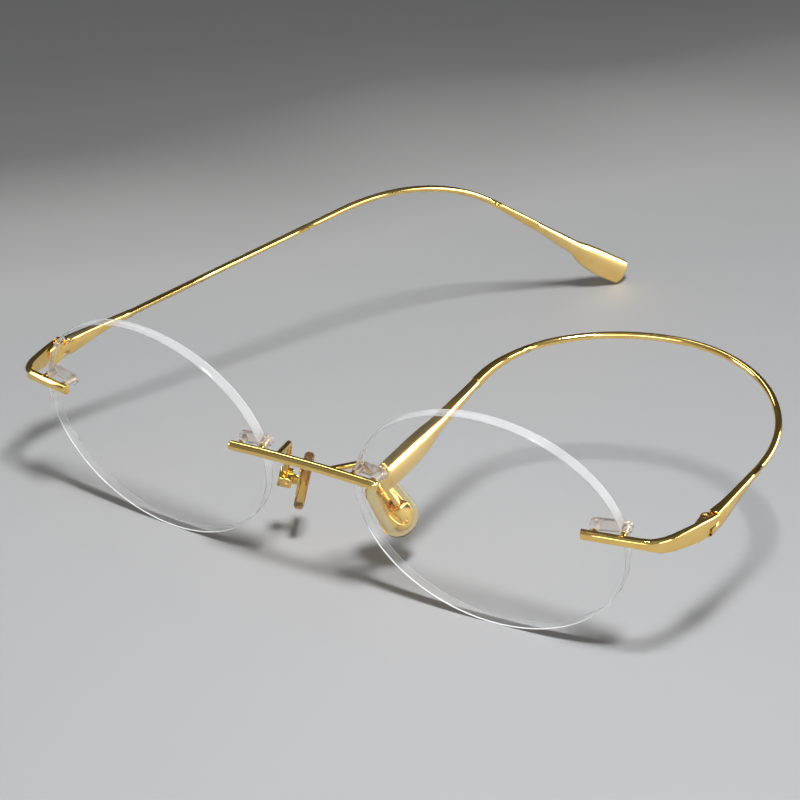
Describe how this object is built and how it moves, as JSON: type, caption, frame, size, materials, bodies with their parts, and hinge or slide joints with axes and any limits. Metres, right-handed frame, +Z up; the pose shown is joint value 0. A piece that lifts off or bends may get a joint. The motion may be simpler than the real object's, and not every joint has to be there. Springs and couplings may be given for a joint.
{
  "type": "rimless eyeglasses",
  "caption": "Rimless eyeglasses with clear oval lenses, a slim polished gold rod bridge, soft nose pads and springy wire temples with paddle tips, the right temple curled in.",
  "frame": {"origin": "centre of the footprint, on the surface that the glasses stand on", "axes": "+X towards the temple that is curled in, +Y back along the temples, +Z up"},
  "size_m": [0.1376, 0.1492, 0.0423],
  "materials": {
    "gold": "polished gold plating, satin on the temple tips",
    "lens_clear": "clear, polished edge",
    "bushing_clear": "clear moulded plastic",
    "pad_soft": "clear soft silicone, slightly yellow"
  },
  "bodies": {
    "front": {"bridge_rod": "gold", "right_lens": "lens_clear", "right_end_piece": "gold", "right_nasal_pins": "gold", "right_temporal_pins": "gold", "right_nasal_bushing": "bushing_clear", "right_temporal_bushing": "bushing_clear", "right_pad_arm": "gold", "right_pad_box": "gold", "right_pad_screw": "gold", "right_hinge_fork": "gold", "right_hinge_screw": "gold", "left_lens": "lens_clear", "left_end_piece": "gold", "left_nasal_pins": "gold", "left_temporal_pins": "gold", "left_nasal_bushing": "bushing_clear", "left_temporal_bushing": "bushing_clear", "left_pad_arm": "gold", "left_pad_box": "gold", "left_pad_screw": "gold", "left_hinge_fork": "gold", "left_hinge_screw": "gold"},
    "right_temple_arm": {"right_temple": "gold", "right_hinge_tongue": "gold"},
    "right_pad": {"right_nose_pad": "pad_soft", "right_pad_core": "gold"},
    "left_temple_arm": {"left_temple": "gold", "left_hinge_tongue": "gold"},
    "left_pad": {"left_nose_pad": "pad_soft", "left_pad_core": "gold"}
  },
  "joints": [
    {"name": "right_temple_hinge", "type": "hinge", "parent": "front", "child": "right_temple_arm", "pos_m": [0.06662, -0.05523, 0.0233], "axis": [0, -0.1835, 0.983], "range_deg": [-3, 0]},
    {"name": "left_temple_hinge", "type": "hinge", "parent": "front", "child": "left_temple_arm", "pos_m": [-0.06708, -0.05523, 0.0233], "axis": [0, 0.1835, -0.983], "range_deg": [-26, 45]},
    {"name": "right_pad_rock", "type": "hinge", "parent": "front", "child": "right_pad", "pos_m": [0.01161, -0.06107, 0.01329], "axis": [-0.338, -0.8374, -0.4295], "range_deg": [-10, 10]},
    {"name": "left_pad_rock", "type": "hinge", "parent": "front", "child": "left_pad", "pos_m": [-0.01206, -0.06107, 0.01329], "axis": [0.338, -0.8374, -0.4295], "range_deg": [-10, 10]}
  ]
}
